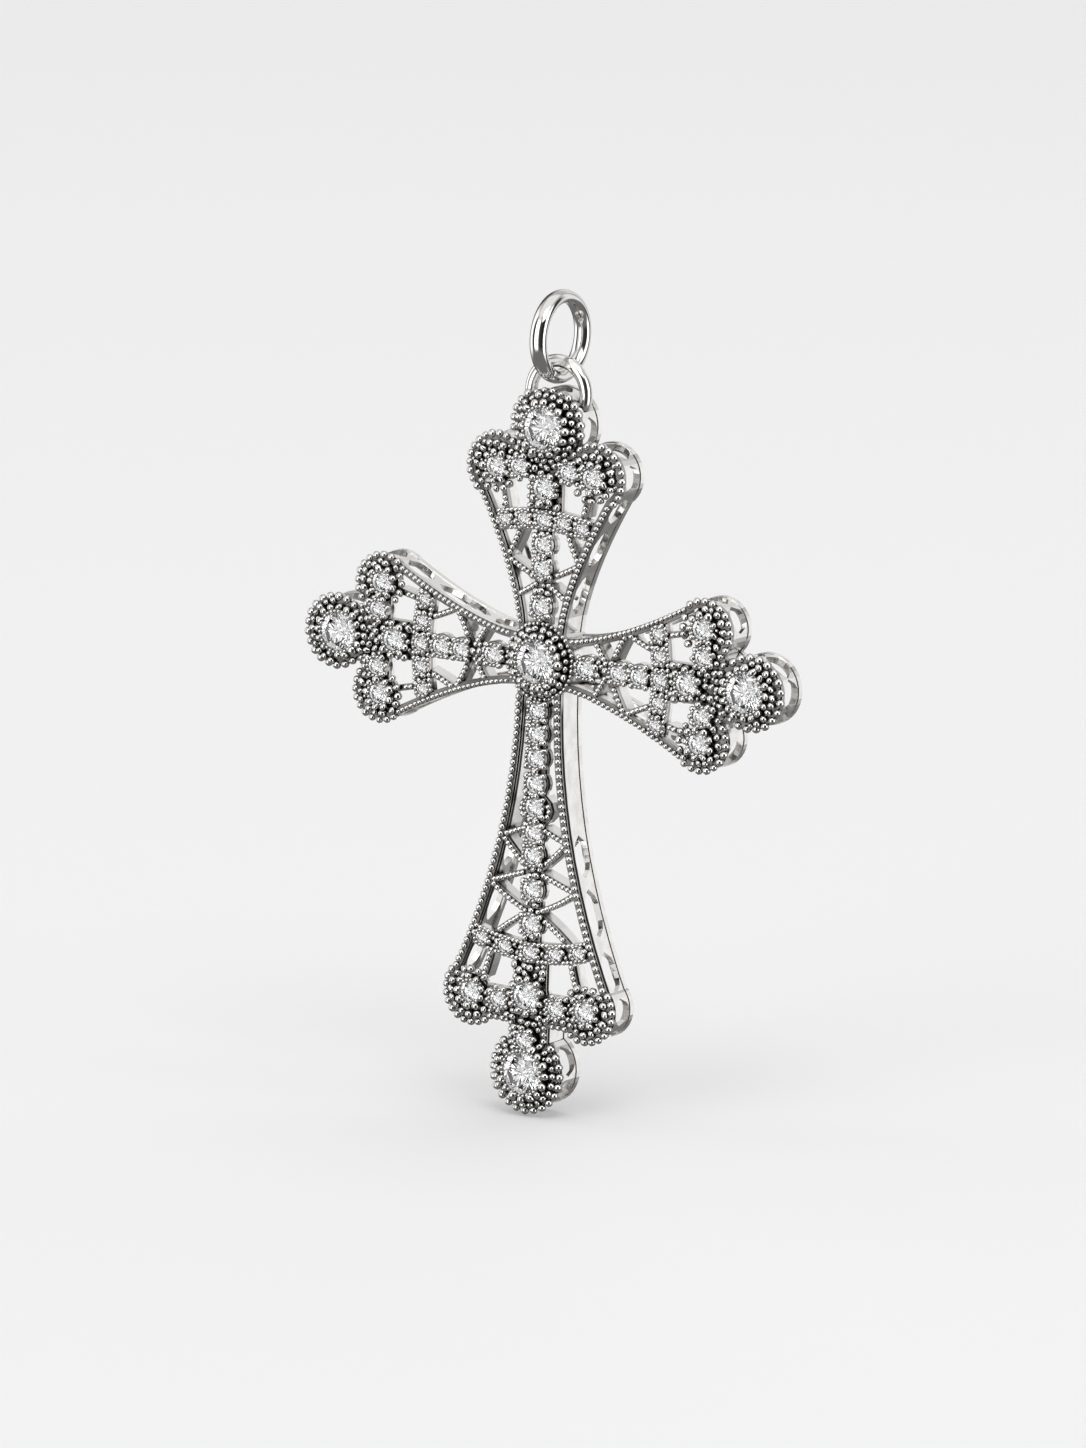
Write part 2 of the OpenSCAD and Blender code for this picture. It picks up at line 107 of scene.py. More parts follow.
# Lattice wires beside the column, for each pattern: distance and offset of the start, the bend and the
# end. An offset of RIM is the rim's own.
RIM = -1
WIRES = {
    "short": [
        ((9.1, 1.75), (7.9, 2.15), (6.75, RIM)), ((6.75, RIM), (6.1, 1.75), (5.6, 0.5)),
        ((5.15, 0.5), (4.75, 1.15), (4.25, RIM)), ((9.95, 3.0), (10.6, 3.15), (11.7, 3.4)),
    ],
    "long": [
        ((9.2, 0.5), (10, 1.7), (10.95, 0.5)), ((11.25, 0.5), (11.6, 1.35), (12.05, RIM)),
        ((12.05, RIM), (13, 1.75), (14.05, 0.5)), ((14.3, 0.5), (14.75, 1.7), (15.3, RIM)),
        ((15.3, RIM), (16.3, 2.15), (16.95, 0.5)), ((17.2, 0.5), (17.95, 1.9), (19.2, 3.3)),
        ((20.3, 3.25), (21.1, 3.45), (22.1, 3.8)),
    ],
}
WIRE_STEPS = 12

# Rows of beads on the rim: radius, spacing and height of their middles
LOBE_ROW = (0.27, 0.58, 0.1)
NECK_ROW = (0.22, 0.46, 0.12)
SHOULDER_ROW = (0.24, 0.5, 0.12)
TIP_ROW = (0.29, 0.68, 0.08)
# A flank's row has its form's radius and spacing, and its middles stand just above the ridge
FLANK_ROW_H = RIDGE_H + 0.02
# Inset of the rows along the straight edges and flanks, where a flank's row starts, and the steps in
# millimetres and radians at which an edge is followed
ROW_INSET = 0.2
FLANK_ROW_START = 2.55
EDGE_STEP = 0.04
ARC_STEP = 0.02
# A point this close inside an edge counts as outside it
SLACK = 0.02
# Smallest distance of a rim's bead from the centre of the cross, and the range of its size
BOSS_CLEAR = 2.75
EDGE_SIZES = (0.93, 1.06)
# The beads at the very top of the top tip: the half-angle that they fill, their place as a share of the
# tip's radius, and their radius
TOP_SWEEP, TOP_IN, TOP_R = 0.42, 0.945, 0.2

# Beads may overlap a little. Their middles keep this share of their two radii apart: in general, in the
# filling of the head, round the stones and the boss, and in rows.
SHARE = 0.86
HEAD_SHARE = 0.84
PRONG_SHARE = 0.8
ROW_SHARE = 0.7
# A bead's middle keeps off a stone's edge by this share of its radius, or by this much where the bead may
# lean over the edge
OFF_STONE = 0.62
AT_STONE = 0.02

# How far the beads of a ring are out of line, along it as a share of a step and across it, and by what
# shares they are smaller or larger
ALONG_RING = 0.07
ACROSS_RING = 0.03
RING_SIZES = (-0.14, 0.08)
# Prong grains against a stone, by its seat: how far their middles stand off its edge, their number, their
# radius, how far below the collet's top they sit, and their turn as a share of a step
PRONGS = {
    "centre": (0.33, 19, 0.3, 0.16, 0.0),
    "tip": (0.33, 16, 0.3, 0.16, 0.0),
    "lobe": (0.27, 9, 0.27, 0.08, 0.5),
    "mid": (0.27, 9, 0.27, 0.08, 0.5),
    "inner": (0.23, 8, 0.22, 0.08, 0.25),
    "neck": (0.23, 8, 0.22, 0.08, 0.25),
}
# A mid stone wider than this has more of them, and this many
WIDE_MID, WIDE_MID_PRONGS = 1.7, 11
# The boss's second ring of grains: radius, number, grain's radius, drop below the collet's top, turn and
# share
BOSS_RING = (2.16, 24, 0.26, 0.52, 0.5, 0.5)
# The beads on the boss's edge: radius of their ring, number, bead's radius and height
BOSS_EDGE = (2.56, 46, 0.17, 0.08)
# Second ring of grains on a tip or a lobe: how far off the stone's edge, number, radius, height and share
SECOND_RINGS = {"tip": (0.79, 24, 0.24, 0.34, 0.7), "lobe": (0.83, 16, 0.27, 0.24, 0.78)}
# Milgrain on a collet: radius, how far its middles stand off the stone's edge, and beads for each
# millimetre of width
MILGRAIN_R = 0.12
MILGRAIN_OUT = 0.08
MILGRAIN_PER_MM = 10

# Beads on a band's rails and on a lattice wire: spacing, radius and height
RAIL_BEADS = (0.34, 0.18, RAIL_H)
RAIL_STEPS = 60
WIRE_BEADS = (0.36, 0.2, 0.05)
# Grains at the corners of a column's stones: their directions, how far off the stone's edge, and their
# radius, height and share
COLUMN_CORNERS = (40, 140, 220, 320)
COLUMN_OUT = 0.24
COLUMN_GRAIN = (0.23, 0.22, 0.72)
# Grains between the stones of a band: how far off the stone's edge along the band and off its middle
# across it, and their radius, height and share
BAND_ALONG = 0.14
BAND_ACROSS = 0.24
BAND_GRAIN = (0.21, 0.2, 0.7)

# Grains that fill the rest: their radii, from large to small, and the tries for each of them in the head,
# the column and the band
FILL_RADII = (0.27, 0.25, 0.22, 0.19, 0.16)
HEAD_TRIES, COLUMN_TRIES, BAND_TRIES = 2500, 500, 300
# How far they keep inside the head and the column, as a share of their radius
HEAD_MARGIN = 0.6
COLUMN_MARGIN = 0.3
# Height in the head of a grain of this radius, and how much higher a larger one sits
FILL_H, FILL_R, FILL_RISE = 0.16, 0.15, 0.5
# A collet that stands higher than this is a cone, which slopes down over this width
CONE_FROM = 0.42
CONE_W = 0.75
# Where the column's grains start, and their height
COLUMN_START = 2.8
COLUMN_H = 0.15
# The band's grains: how far off its middle, largest radius and height
BAND_FILL = (0.4, 0.19, 0.1)


def flank(form, d):
    """Half the width of an arm at a distance before its head."""
    t = max(0.0, d - FLANK_START) / (form.end - FLANK_START)
    return form.root + (form.spread - form.root) * t ** form.power


def band(form, w):
    """Distance of the middle of the band at an offset."""
    return form.band_d - form.bow * w * w


def place(arm, w, d):
    """Offset and distance on an arm to x and z of the whole cross."""
    a = math.radians(arm.turn)
    return w * math.cos(a) + d * math.sin(a), d * math.cos(a) - w * math.sin(a)


def resample(points, spacing):
    """Points at an even spacing near the given one along a line of points, both ends included."""
    p = np.array(points, float)
    along = np.concatenate([[0], np.cumsum(np.linalg.norm(np.diff(p, axis=0), axis=1))])
    n = max(1, round(along[-1] / spacing))
    t = np.linspace(0, along[-1], n + 1)
    return np.stack([np.interp(t, along, p[:, k]) for k in range(p.shape[1])], 1)


def inside(arm, w, d, lobe_r, tip_r, inset):
    """The forms of an arm's outline that hold a point. Their straight edges and flanks are moved in by
    inset, and the lobes and the tip have the given radii."""
    form = arm.form
    w = abs(w)
    held = set()
    if math.hypot(w - form.lobe_w, d - form.lobe_d) < lobe_r - SLACK:
        held.add("lobe")
    if math.hypot(w, d - arm.reach) < tip_r - SLACK:
        held.add("tip")
    if d < form.end and w < flank(form, d) - inset - SLACK:
        held.add("flank")
    base = form.end - SINK
    if w < form.neck - inset and base < d < arm.reach:
        held.add("neck")
    if base < d < form.shoulder_d - inset:
        k = (d - base) / (form.shoulder_d - base)
        if w < form.lobe_w + k * (form.shoulder_w - form.lobe_w) - inset:
            held.add("shoulder")
    return held


def runs(points, keep, closed):
    """The stretches of a line of points that are kept, each of three points or more."""
    n = len(points)
    if all(keep):
        return [list(points) + ([points[0]] if closed else [])]
    start = next(i for i in range(n) if not keep[i - 1] and keep[i]) if closed and any(keep) else 0
    found, now = [], []
    for j in range(n):
        i = (start + j) % n
        if keep[i]:
            now.append(points[i])
        elif now:
            found.append(now)
            now = []
    if now:
        found.append(now)
    return [r for r in found if len(r) > 2]


def circle(w, d, r):
    """Points round a circle, from the side with the lowest offset."""
    return [(w + r * math.cos(a), d + r * math.sin(a)) for a in np.arange(-math.pi, math.pi, ARC_STEP)]


def rim_rows(arm):
    """The rows of beads on an arm's rim: points, bead's radius, spacing and height of its middle."""
    form = arm.form
    lobe_r, tip_r = form.lobe_r + form.lobe_out, form.tip_r + form.tip_out
    rows = []

    def row(line, own, closed, bead):
        """Adds the stretches of an edge that no other form of the arm covers."""
        keep = [not inside(arm, w, d, lobe_r, tip_r, ROW_INSET) - own for w, d in line]
        rows.extend((points, *bead) for points in runs(line, keep, closed))

    flank_ds = np.arange(FLANK_ROW_START, form.end, EDGE_STEP)
    neck_ds = np.arange(form.shoulder_d, arm.reach, EDGE_STEP)
    shoulder_ws = np.arange(form.neck, form.shoulder_w, EDGE_STEP)
    # The edges on the right: the line, the forms it belongs to, whether it is closed, and its beads
    edges = [
        ([(flank(form, d) - ROW_INSET, d) for d in flank_ds], {"flank", "neck"}, False,
         (*form.flank_bead, FLANK_ROW_H)),
        (circle(form.lobe_w, form.lobe_d, lobe_r), {"lobe"}, True, LOBE_ROW),
        ([(form.neck - ROW_INSET, d) for d in neck_ds], {"neck"}, False, NECK_ROW),
        ([(w, form.shoulder_d - ROW_INSET) for w in shoulder_ws], {"shoulder"}, False, SHOULDER_ROW),
    ]
    for side in (-1, 1):
        for line, own, closed, bead in edges:
            row([(side * w, d) for w, d in line], own, closed, bead)
    row(circle(0, arm.reach, tip_r), {"tip"}, True, TIP_ROW)
    return rows


def wire_line(form, wire):
    """Points along a lattice wire."""
    a, b, c = [np.array((flank(form, d) - RIM_W / 2 if w == RIM else w, d)) for d, w in wire]
    return [(1 - t) ** 2 * a + 2 * t * (1 - t) * b + t * t * c for t in np.linspace(0, 1, WIRE_STEPS + 1)]


def stones_of(arm):
    """Seat, offset, distance, diameter and table's height of an arm's stones."""
    form = arm.form
    yield "tip", 0, arm.reach - form.back, form.stone, form.table
    for seat, distance, offset, size, table in STONES[arm.pattern]:
        for side in ((0,) if offset == 0 else (-1, 1)):
            w = side * offset
            yield seat, w, band(form, w) if seat == "band" else distance, size, table


def in_head(arm, w, d, margin, seats):
    """True where a point lies inside an arm's solid head by a margin. The head is all beyond a line across
    the arm, what surrounds the seats of its lobe and mid stones, and a strip to the band."""
    form = arm.form
    if abs(w) < STRIP_HALF - margin and band(form, w) + RAIL_OFFSET < d < form.head + margin:
        return True
    held = inside(arm, w, d, form.lobe_r - margin, form.tip_r - margin, margin)
    near = any(math.hypot(w - a, d - b) < size / 2 + HEAD_W - margin for a, b, size in seats)
    return bool(held) and (near or d > form.head + margin / 2)


# Beads and grains as (x, z, radius, height of the middle)
rim_beads, wire_beads, grains, bezel_beads = [], [], [], []
# All stones as (seat, x, z, diameter, table's height)
stones = [("centre", 0.0, 0.0, CENTRE_STONE, CENTRE_TABLE)]
for arm in ARMS:
    stones += [(seat, *place(arm, w, d), size, table) for seat, w, d, size, table in stones_of(arm)]
# What is placed so far, by the square millimetre
grid = {}
SEED = 4
noise = random.Random(SEED)


def collet_top(size, table):
    return table - GIRDLE * size + LIP


def free(x, z, r, share, near):
    """True where a bead keeps off the stones, and off other beads by a share of the two radii."""
    if any(math.hypot(x - q[1], z - q[2]) < q[3] / 2 + near for q in stones):
        return False
    cells = [(int(x // 1) + i, int(z // 1) + j) for i in (-1, 0, 1) for j in (-1, 0, 1)]
    return all(math.hypot(x - q[0], z - q[1]) >= share * (r + q[2]) for c in cells for q in grid.get(c, ()))


def add(beads, x, z, r, middle, share=SHARE, near=None):
    """Places a bead where there is room for it."""
    if free(x, z, r, share, OFF_STONE * r if near is None else near):
        beads.append((x, z, r, middle))
        grid.setdefault((int(x // 1), int(z // 1)), []).append((x, z, r))


def ring(beads, x, z, radius, n, r, middle, turn=0.0, share=SHARE, near=None):
    """Places n beads in a ring, each a little out of line and of its own size."""
    for i in range(n):
        a = 2 * math.pi * (i + turn + noise.uniform(-ALONG_RING, ALONG_RING)) / n
        out = radius + noise.uniform(-ACROSS_RING, ACROSS_RING)
        own_r = r * (1 + noise.uniform(*RING_SIZES))
        add(beads, x + out * math.cos(a), z + out * math.sin(a), own_r, middle, share, near)


def prong_ring(seat, x, z, size, table):
    """The prong grains that hold a stone."""
    out, n, r, drop, turn = PRONGS[seat]
    if seat == "mid" and size > WIDE_MID:
        n = WIDE_MID_PRONGS
    ring(grains, x, z, size / 2 + out, n, r, collet_top(size, table) - drop, turn, PRONG_SHARE, AT_STONE)


def rim_of(arm):
    """The beads on an arm's rim. Those at the very top of the cross are smaller and further in, clear of
    the ring when the cross sways."""
    for points, r, spacing, middle in rim_rows(arm):
        for w, d in resample(points, spacing):
            up = d - arm.reach
            top = arm.form is TOP and up > 0 and math.atan2(abs(w), up) < TOP_SWEEP
            x, z = place(arm, w * TOP_IN, arm.reach + up * TOP_IN) if top else place(arm, w, d)
            if math.hypot(x, z) > BOSS_CLEAR:
                add(rim_beads, x, z, (TOP_R if top else r) * noise.uniform(*EDGE_SIZES), middle, ROW_SHARE)


def boss():
    """The grains round the centre stone, and the beads on the boss's edge."""
    prong_ring(*stones[0])
    radius, n, r, drop, turn, share = BOSS_RING
    ring(grains, 0, 0, radius, n, r, collet_top(CENTRE_STONE, CENTRE_TABLE) - drop, turn, share)
    ring(rim_beads, 0, 0, *BOSS_EDGE, share=PRONG_SHARE)


def second_ring(seat, x, z, size):
    """The outer ring of grains on a tip or a lobe."""
    out, n, r, middle, share = SECOND_RINGS[seat]
    ring(grains, x, z, size / 2 + out, n, r, middle, share=share)


def milgrain(x, z, size, table):
    """The fine beads on a stone's collet, which touch each other and need no room of their own."""
    radius = size / 2 + MILGRAIN_OUT
    n = round((size + 2 * MILGRAIN_R) * MILGRAIN_PER_MM)
    for i in range(n):
        a = 2 * math.pi * i / n
        bezel_beads.append((x + radius * math.cos(a), z + radius * math.sin(a), MILGRAIN_R,
                            collet_top(size, table)))


def band_half(form):
    """Half the length of the band between the rims."""
    return flank(form, band(form, flank(form, form.band_d))) - RIM_W


def rails(arm):
    """The beads on the two rails of an arm's band."""
    form = arm.form
    half = band_half(form)
    spacing, r, middle = RAIL_BEADS
    for j in (-1, 1):
        line = [(w, band(form, w) + j * RAIL_OFFSET) for w in np.linspace(-half, half, RAIL_STEPS)]
        for w, d in resample(line, spacing):
            add(wire_beads, *place(arm, w, d), r, middle, ROW_SHARE, AT_STONE)


def corner_grains(arm):
    """The grains at the corners of the small stones of an arm's column and band."""
    for seat, w, d, size, _ in stones_of(arm):
        if seat == "column":
            for a in map(math.radians, COLUMN_CORNERS):
                out = size / 2 + COLUMN_OUT
                x, z = place(arm, w + out * math.cos(a), d + out * math.sin(a))
                add(grains, x, z, *COLUMN_GRAIN, AT_STONE)
        elif seat == "band":
            for i in (-1, 1):
                for j in (-1, 1):
                    x, z = place(arm, w + i * (size / 2 + BAND_ALONG), d + j * BAND_ACROSS)
                    add(grains, x, z, *BAND_GRAIN, AT_STONE)


def lattice(arm):
    """The beads on the lattice wires of an arm."""
    spacing, r, middle = WIRE_BEADS
    for wire in WIRES[arm.pattern]:
        for side in (-1, 1):
            for w, d in resample(wire_line(arm.form, wire), spacing):
                add(wire_beads, *place(arm, side * w, d), r, middle, ROW_SHARE)


def lift(x, z):
    """How far the slope of a raised collet carries a grain up."""
    best = 0.0
    for _, sx, sz, size, table in stones:
        out = max(0.0, math.hypot(x - sx, z - sz) - size / 2 - COLLET)
        best = max(best, max(0.0, collet_top(size, table) - CONE_FROM) * max(0.0, 1 - out / CONE_W))
    return best


def filling(arm):
    """Fills what is left of the solid head, the column and the band with grains of mixed sizes."""
    form = arm.form
    half = band_half(form)
    wide = form.lobe_w + form.lobe_r
    seats = [(w, d, size) for seat, w, d, size, _ in stones_of(arm) if seat in ("lobe", "mid")]
    off_band, band_r, band_h = BAND_FILL
    for r in FILL_RADII:
        for _ in range(HEAD_TRIES):
            w, d = noise.uniform(-wide, wide), noise.uniform(form.band_d, arm.reach + form.tip_r)
            if in_head(arm, w, d, r * HEAD_MARGIN, seats):
                x, z = place(arm, w, d)
                add(grains, x, z, r, FILL_H + FILL_RISE * (r - FILL_R) + lift(x, z), HEAD_SHARE)
        for _ in range(COLUMN_TRIES):
            w = noise.uniform(-1, 1) * (COLUMN_HALF - COLUMN_MARGIN * r)
            add(grains, *place(arm, w, noise.uniform(COLUMN_START, form.head)), r, COLUMN_H)
        for _ in range(BAND_TRIES):
            w = noise.uniform(-half, half)
            d = band(form, w) + noise.uniform(-off_band, off_band)
            add(grains, *place(arm, w, d), min(r, band_r), band_h)


for arm in ARMS:
    rim_of(arm)
boss()
for seat, *stone in stones[1:]:
    if seat in PRONGS:
        prong_ring(seat, *stone)
for seat, x, z, size, table in stones:
    if seat in SECOND_RINGS:
        second_ring(seat, x, z, size)
    milgrain(x, z, size, table)
for arm in ARMS:
    rails(arm)
    corner_grains(arm)
    lattice(arm)
    filling(arm)


def ball(segments):
    """Points and triangles of a ball of radius 1 with its poles along depth."""
    rows = segments // 2
    verts = [(0, -1, 0)]
    for i in range(1, rows):
        a = math.pi * i / rows
        for j in range(segments):
            b = 2 * math.pi * j / segments
            verts.append((math.sin(a) * math.cos(b), -math.cos(a), math.sin(a) * math.sin(b)))
    verts.append((0, 1, 0))
    faces = []
    pole, last_row = len(verts) - 1, 1 + (rows - 2) * segments
    for j in range(segments):
        k = (j + 1) % segments
        faces.append((0, 1 + j, 1 + k))
        for i in range(rows - 2):
            a, b = 1 + i * segments, 1 + (i + 1) * segments
            faces += [(a + j, b + k, a + k), (a + j, b + j, b + k)]
        faces.append((pole, last_row + k, last_row + j))
    return np.array(verts, float), np.array(faces, int)


def joined(name, verts, faces):
    """One smooth mesh from lists of points in the cross's millimetres and of faces."""
    mesh = bpy.data.meshes.new(name)
    world = (np.concatenate(verts) - np.array([0, LOOP_Y, HANG])) * MM
    mesh.from_pydata(world.tolist(), [], np.concatenate(faces).tolist())
    mesh.polygons.foreach_set("use_smooth", [True] * len(mesh.polygons))
    obj = bpy.data.objects.new(name, mesh)
    bpy.context.scene.collection.objects.link(obj)
    return obj


# A ball's unevenness is one wave through it: its most along each axis, in radians for a radius, and the
# range of its phase
WAVE = 2.6
PHASE = 6


def cloud(name, balls, segments, uneven):
    """All the balls of one kind as one mesh, each one uneven in its own way by a share of its radius."""
    verts, faces = ball(segments)
    made = []
    for x, z, r, middle in balls:
        waves = [noise.uniform(-WAVE, WAVE) for _ in range(3)]
        swell = 1 + uneven * np.sin(verts @ np.array(waves) + noise.uniform(0, PHASE))
        made.append(verts * (r * swell)[:, None] + np.array([x, -middle, z]))
    return joined(name, made, [faces + i * len(verts) for i in range(len(balls))])


pieces = []
# Name, balls, segments round a ball, and unevenness as a share of its radius
CLOUDS = [("rim_beads", rim_beads, 14, 0.04), ("wire_beads", wire_beads, 12, 0.05),
          ("stone_grains", grains, 12, 0.18), ("bezel_beads", bezel_beads, 8, 0.0)]
for name, balls, segments, uneven in CLOUDS:
    obj = cloud(name, balls, segments, uneven)
    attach(obj, "cross")
    pieces.append(obj)


# Materials
def new_material(name):
    """A material, its node tree and its shader."""
    mat = bpy.data.materials.new(name)
    mat.use_nodes = True
    return mat, mat.node_tree, mat.node_tree.nodes["Principled BSDF"]


def feed(tree, inputs, values):
    """Sets a node's inputs, by name or number, to values or links them to other nodes' outputs."""
    for key, value in values.items():
        if isinstance(value, bpy.types.NodeSocket):
            tree.links.new(value, inputs[key])
        else:
            inputs[key].default_value = value


def add_node(tree, kind, values, **settings):
    """A shader node with its inputs and its settings."""
    node = tree.nodes.new("ShaderNode" + kind)
    for key, value in settings.items():
        setattr(node, key, value)
    feed(tree, node.inputs, values)
    return node


def maths(tree, operation, *values):
    """The result of an operation on numbers or other nodes' outputs."""
    return add_node(tree, "Math", dict(enumerate(values)), operation=operation).outputs["Value"]


def ranged(tree, value, low, high, start=0.0, end=1.0):
    """Goes smoothly from start to end as a value goes from low to high."""
    values = {"From Min": low, "From Max": high, "To Min": start, "To Max": end, "Value": value}
    return add_node(tree, "MapRange", values, interpolation_type="SMOOTHSTEP").outputs["Result"]


def ramp(tree, value, stops):
    """The colour at a value on a ramp of places and colours, the first at 0 and the last at 1."""
    node = add_node(tree, "ValToRGB", {"Fac": value})
    elements = node.color_ramp.elements
    elements[0].color = (*stops[0][1], 1)
    elements[1].color = (*stops[-1][1], 1)
    for at, color in stops[1:-1]:
        elements.new(at).color = (*color, 1)
    return node.outputs["Color"]


def depth(y):
    """Where a depth in millimetres behind the plate's face lies, in metres."""
    return (-LOOP_Y + y) * MM


# The metals: colours of the patina and painted shade and of the clean, lit metal, least roughness, how far
# off a surface still encloses another, how open the darkest places are (a share of all directions), the
# height above the plate's face at which the patina and painted shade of low places start and how far below
# that they are full, and whether they lie on the plate's front only. The ring's would start behind all of
# the ring.
PATINA_AND_SHADE = (0.11, 0.107, 0.103)
METALS = {
    "cast_silver": dict(dark=PATINA_AND_SHADE, tint=(0.8, 0.788, 0.77), gloss=0.12, reach=0.6, closed=0.22,
                        foot=1.2, fade=0.1, front_only=True),
    # The beads' silver is tinted darker than the cast's: painted shade on their bodies
    "beaded_silver": dict(dark=PATINA_AND_SHADE, tint=(0.7, 0.69, 0.673), gloss=0.08, reach=0.35, closed=0.28,
                          foot=0.22, fade=0.3, front_only=False),
    # The fine beads' silver is tinted paler than the cast's: painted light on them
    "fine_beaded_silver": dict(dark=PATINA_AND_SHADE, tint=(0.84, 0.828, 0.81), gloss=0.1, reach=0.25, closed=0.2,
                               foot=0.06, fade=0.16, front_only=False),
    "ring_silver": dict(dark=(0.3, 0.29, 0.28), tint=(0.7, 0.69, 0.675), gloss=0.04, reach=0.2, closed=0.2,
                        foot=-5, fade=0.1, front_only=False),
}
# How much more open than the darkest places the clean, lit ones are
OPENING = 0.5
# The metal's ramp from dark to clean and lit: where it has the colour of patina and painted shade, and the
# share of that colour at its start, which only the painted shadow on the plate's edge comes near
DARKEST = 0.15
SHADOW_BLACK = 0.1
# Scale and detail of the noise of the fine wear and of the broad patches in which the patina and painted
# shade of low places are lighter, and the values over which each takes effect
FINE_WEAR = (1400.0, 4.0)
BROAD_WEAR = (260.0, 2.0)
FINE_RANGE = (0.3, 0.7)
BROAD_RANGE = (0.35, 0.7)
# How much rougher the fine wear makes the metal, and the share of the patina and painted shade of low places
# that is left where it is worn
WEAR_ROUGH = 0.1
WORN_TO = 0.75
# Depths over which the patina and painted shade of the plate's front end, and the normals that count as its
# front
FRONT_ENDS = (0.05, 0.12)
FRONT_NORMALS = (-0.75, -0.45)
# Depths over which the painted shadow on the plate's edge starts and ends, the normals that have it, and the
# heights over which it goes from full on the bottom arm to half above, from the centre of the cross
EDGE_STARTS = (0.02, 0.05)
EDGE_ENDS = (0.3, 0.34)
EDGE_NORMALS = (0.3, 0.7)
EDGE_FULL, EDGE_HALF = -3.5, -2.5


def front_patina_and_shade(tree, at, facing, low):
    """Keeps the patina and painted shade of low places to what faces the front and is no deeper than the
    plate's face.
    """
    deep = ranged(tree, at["Y"], depth(FRONT_ENDS[0]), depth(FRONT_ENDS[1]), 1.0, 0.0)
    front = ranged(tree, facing["Y"], *FRONT_NORMALS, 1.0, 0.0)
    return maths(tree, "MULTIPLY", maths(tree, "MULTIPLY", low, deep), front)


def edge_painted_shadow(tree, at, facing):
    """Painted shadow on the right-hand edges of the plate, most of all on the bottom arm."""
    start = ranged(tree, at["Y"], depth(EDGE_STARTS[0]), depth(EDGE_STARTS[1]))
    end = ranged(tree, at["Y"], depth(EDGE_ENDS[0]), depth(EDGE_ENDS[1]), 1.0, 0.0)
    right = ranged(tree, facing["X"], *EDGE_NORMALS)
    edge = maths(tree, "MULTIPLY", maths(tree, "MULTIPLY", start, end), right)
    below = ranged(tree, at["Z"], (-HANG + EDGE_FULL) * MM, (-HANG + EDGE_HALF) * MM, 1.0, 0.5)
    return maths(tree, "MULTIPLY", edge, below)


def silver(name, dark, tint, gloss, reach, closed, foot, fade, front_only):
    """Polished white metal with fine wear in its gloss, dark with patina and painted shade where it is
    enclosed or low, and on the plate with a painted shadow along its right-hand edges.
    """
    mat, tree, shader = new_material(name)
    coord = add_node(tree, "TexCoord", {}).outputs
    fine, broad = [add_node(tree, "TexNoise", {"Scale": scale, "Detail": detail, "Vector": coord["Object"]})
                   for scale, detail in (FINE_WEAR, BROAD_WEAR)]
    at = add_node(tree, "SeparateXYZ", {"Vector": coord["Object"]}).outputs
    facing = add_node(tree, "SeparateXYZ", {"Vector": coord["Normal"]}).outputs
    # Darkening where the surface is enclosed: patina, and painted shade in the recesses
    shade = add_node(tree, "AmbientOcclusion", {"Distance": reach * MM}, samples=6)
    open_part = ranged(tree, shade.outputs["AO"], closed, closed + OPENING)
    # Darkening of what lies low between the beads: patina, and painted shade under them
    low = ranged(tree, at["Y"], depth(-foot), depth(fade - foot))
    if front_only:
        low = front_patina_and_shade(tree, at, facing, low)
    worn = ranged(tree, broad.outputs["Fac"], *BROAD_RANGE, WORN_TO, 1.0)
    bare_and_lit = maths(tree, "SUBTRACT", 1.0, maths(tree, "MULTIPLY", low, worn))
    clean_and_lit = maths(tree, "MULTIPLY", open_part, bare_and_lit)
    clean_and_lit = maths(tree, "ADD", DARKEST, maths(tree, "MULTIPLY", clean_and_lit, 1 - DARKEST))
    # The plate's right-hand edges are darkened nearly to black: painted shadow
    if front_only:
        clean_and_lit = maths(tree, "MULTIPLY", clean_and_lit, maths(tree, "SUBTRACT", 1.0, edge_painted_shadow(tree, at, facing)))
    shadow_black = [SHADOW_BLACK * v for v in dark]
    bump = add_node(tree, "Bump", {"Strength": 0.06, "Distance": 0.02 * MM, "Height": fine.outputs["Fac"]})
    feed(tree, shader.inputs, {
        "Metallic": 1.0,
        "Roughness": ranged(tree, fine.outputs["Fac"], *FINE_RANGE, gloss, gloss + WEAR_ROUGH),
        "Base Color": ramp(tree, clean_and_lit, [(0.0, shadow_black), (DARKEST, dark), (1.0, tint)]),
        "Normal": bump.outputs["Normal"],
    })
    return mat


def clear_stone():
    """Clear colourless stone of high refraction, with faint clouds in its colour."""
    mat, tree, shader = new_material("clear_stone")
    coord = add_node(tree, "TexCoord", {})
    clouds = add_node(tree, "TexNoise", {"Scale": 600.0, "Vector": coord.outputs["Object"]})
    feed(tree, shader.inputs, {
        "Transmission Weight": 1.0,
        "IOR": 2.4,
        "Roughness": 0.0,
        "Base Color": ramp(tree, clouds.outputs["Fac"], [(0.0, (0.94, 0.95, 0.96)), (1.0, (1, 1, 1))]),
    })
    return mat


def pale_floor():
    """Matt pale floor that glows a little, so that the shadow on it stays light."""
    mat, tree, shader = new_material("pale_floor")
    feed(tree, shader.inputs, {
        "Base Color": (0.7, 0.7, 0.7, 1),
        "Emission Color": (1, 1, 1, 1),
        "Emission Strength": 0.155,
        "Roughness": 0.9,
        "Specular IOR Level": 0.1,
    })
    return mat


def dress(obj, mat):
    """Gives an object its one material."""
    obj.data.materials.clear()
    obj.data.materials.append(mat)


